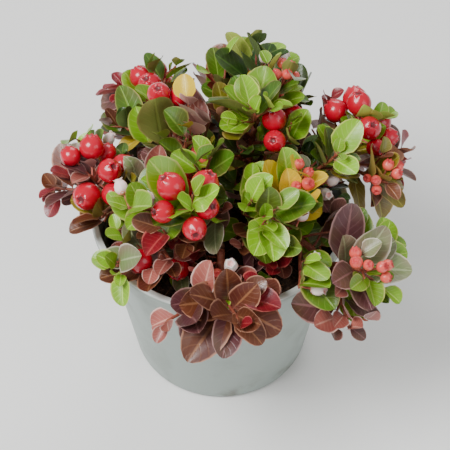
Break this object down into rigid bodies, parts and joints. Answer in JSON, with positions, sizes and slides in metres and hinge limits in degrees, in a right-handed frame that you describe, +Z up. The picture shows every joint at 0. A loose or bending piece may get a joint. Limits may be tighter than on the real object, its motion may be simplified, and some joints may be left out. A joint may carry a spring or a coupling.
{
  "type": "potted big berry wintergreen",
  "caption": "Low evergreen shrub in a round grower's pot, with glossy oval leaves, large red berries, coral young fruit and small urn flowers.",
  "frame": {"origin": "centre of the pot's flat underside", "axes": "+Z up the pot's axis; +Y away from the side seen in the picture, so that side faces -Y; +X to the right of that view"},
  "size_m": [0.1699, 0.175, 0.1523],
  "materials": {
    "pot": "moulded light grey plastic",
    "soil": null,
    "bark": "reddish brown young bark",
    "foliage": "glossy green, bronze and plum leaves"
  },
  "bodies": {
    "root": {"pot": "pot", "soil": "soil", "stem_outer_1": "bark", "stem_outer_2": "bark", "stem_outer_3": "bark", "stem_outer_4": "bark", "stem_outer_5": "bark", "stem_outer_6": "bark", "stem_outer_7": "bark", "stem_middle_1": "bark", "stem_middle_2": "bark", "stem_middle_3": "bark", "stem_middle_4": "bark", "foliage_outer_1": "foliage", "foliage_outer_2": "foliage", "foliage_outer_3": "foliage", "foliage_outer_4": "foliage", "foliage_outer_5": "foliage", "foliage_outer_6": "foliage", "foliage_outer_7": "foliage", "foliage_middle_1": "foliage", "foliage_middle_2": "foliage", "foliage_middle_3": "foliage", "foliage_middle_4": "foliage"}
  },
  "joints": []
}
